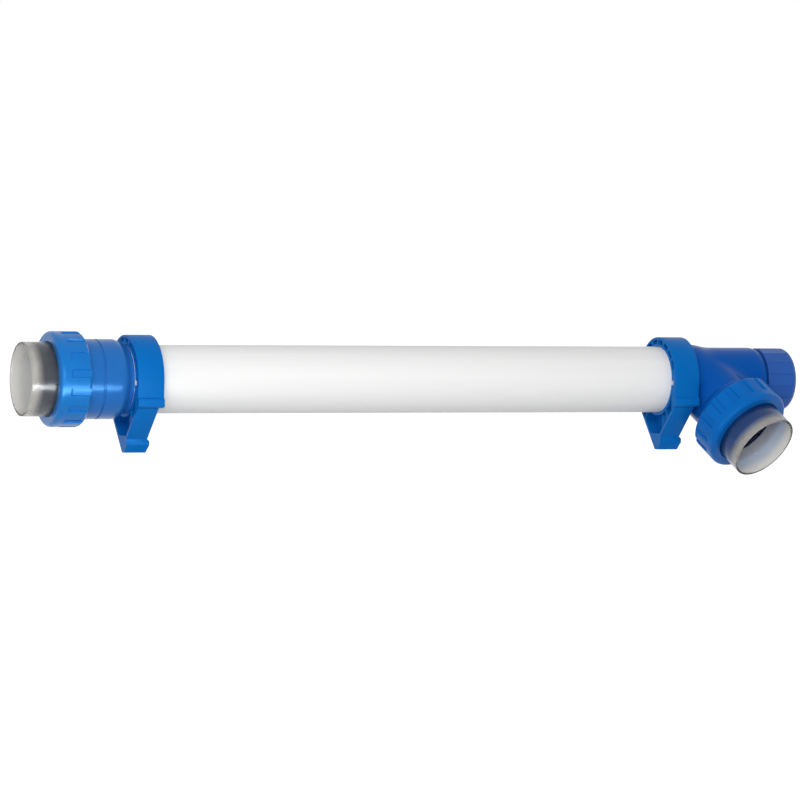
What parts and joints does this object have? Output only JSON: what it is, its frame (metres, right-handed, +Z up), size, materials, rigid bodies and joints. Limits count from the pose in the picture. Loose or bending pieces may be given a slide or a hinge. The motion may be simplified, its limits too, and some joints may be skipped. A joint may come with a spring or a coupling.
{
  "type": "uv water clarifier",
  "caption": "In-line UV pond clarifier: white pressure pipe with a lamp in a quartz sleeve, blue union fittings with clear socket tails, an angled outlet tee and hinged pipe clips.",
  "frame": {"origin": "on the mounting plane, midway between the screw holes of the two clips", "axes": "+X along the pipe from the inlet to the end cap, +Z up away from the mounting plane, -Y towards the outlet side"},
  "size_m": [1.116, 0.2063, 0.1907],
  "materials": {
    "white_pipe": "satin extruded white PVC",
    "adaptor_blue": "glossy moulded mid blue",
    "nut_blue": "satin moulded light blue",
    "tee_blue": "glossy moulded deep blue",
    "cap_blue": "satin moulded violet blue",
    "clip_blue": "satin moulded cyan blue",
    "clear_pvc": "clear extruded PVC, slightly grey",
    "quartz": "clear fused quartz",
    "lamp_glass": "clear lamp tube",
    "lamp_ceramic": "glazed ceramic white",
    "white_moulding": "moulded white plastic",
    "contact_metal": "bright contact brass",
    "hinge_steel": "stainless pin",
    "seal_rubber": "black rubber",
    "gland_black": "moulded black nylon"
  },
  "bodies": {
    "reactor": {"reactor_tube": "white_pipe", "inlet_adaptor": "adaptor_blue", "inlet_union_seal": "seal_rubber", "outlet_tee": "tee_blue", "outlet_union_seal": "seal_rubber", "sleeve_support": "white_moulding", "quartz_sleeve": "quartz", "sleeve_flange": "white_moulding", "sleeve_seal": "seal_rubber", "flange_seal": "seal_rubber", "sleeve_nut": "white_moulding", "left_saddle": "clip_blue", "left_strap_pin": "hinge_steel", "right_saddle": "clip_blue", "right_strap_pin": "hinge_steel"},
    "inlet_tail_body": {"inlet_tail": "clear_pvc"},
    "inlet_nut_body": {"inlet_union_nut": "nut_blue"},
    "outlet_tail_body": {"outlet_tail": "clear_pvc"},
    "outlet_nut_body": {"outlet_union_nut": "nut_blue"},
    "lamp": {"lamp_glass": "lamp_glass", "lamp_far_cap": "lamp_ceramic", "lamp_base": "lamp_ceramic", "lamp_pins": "contact_metal"},
    "socket": {"lamp_socket": "white_moulding"},
    "cap": {"end_cap": "cap_blue", "gland_body": "gland_black", "gland_seal": "seal_rubber"},
    "gland_nut_body": {"gland_nut": "gland_black"},
    "left_strap_body": {"left_strap": "clip_blue"},
    "right_strap_body": {"right_strap": "clip_blue"}
  },
  "joints": [
    {"name": "inlet_tail_slide", "type": "slide", "parent": "reactor", "child": "inlet_tail_body", "axis": [-1, 0, 0], "range_m": [0, 0.024]},
    {"name": "inlet_nut_turn", "type": "hinge", "parent": "inlet_tail_body", "child": "inlet_nut_body", "pos_m": [-0.494, 0, 0.096], "axis": [-1, 0, 0], "range_deg": [0, 2160]},
    {"name": "outlet_tail_slide", "type": "slide", "parent": "reactor", "child": "outlet_tail_body", "axis": [0.309, -0.7286, -0.6113], "range_m": [0, 0.024]},
    {"name": "outlet_nut_turn", "type": "hinge", "parent": "outlet_tail_body", "child": "outlet_nut_body", "pos_m": [0.434, 0, 0.096], "axis": [0.309, -0.7286, -0.6113], "range_deg": [0, 2160]},
    {"name": "lamp_withdraw", "type": "slide", "parent": "reactor", "child": "lamp", "axis": [1, 0, 0], "range_m": [0, 0.88]},
    {"name": "socket_slide", "type": "slide", "parent": "lamp", "child": "socket", "axis": [1, 0, 0], "range_m": [0, 0.024]},
    {"name": "cap_turn", "type": "hinge", "parent": "socket", "child": "cap", "pos_m": [0.519, 0, 0.096], "axis": [1, 0, 0], "range_deg": [0, 2160]},
    {"name": "gland_nut_turn", "type": "hinge", "parent": "cap", "child": "gland_nut_body", "pos_m": [0.565, 0, 0.096], "axis": [1, 0, 0], "range_deg": [0, 360]},
    {"name": "left_strap_open", "type": "hinge", "parent": "reactor", "child": "left_strap_body", "pos_m": [-0.3865, 0.06, 0.096], "axis": [-1, 0, 0], "range_deg": [0, 100]},
    {"name": "right_strap_open", "type": "hinge", "parent": "reactor", "child": "right_strap_body", "pos_m": [0.3865, 0.06, 0.096], "axis": [-1, 0, 0], "range_deg": [0, 100]}
  ],
  "couplings": [
    {"joint": "inlet_tail_slide", "follows": "inlet_nut_turn", "m_per_rad": 0.0006366},
    {"joint": "outlet_tail_slide", "follows": "outlet_nut_turn", "m_per_rad": 0.0006366},
    {"joint": "socket_slide", "follows": "cap_turn", "m_per_rad": 0.0006366}
  ]
}
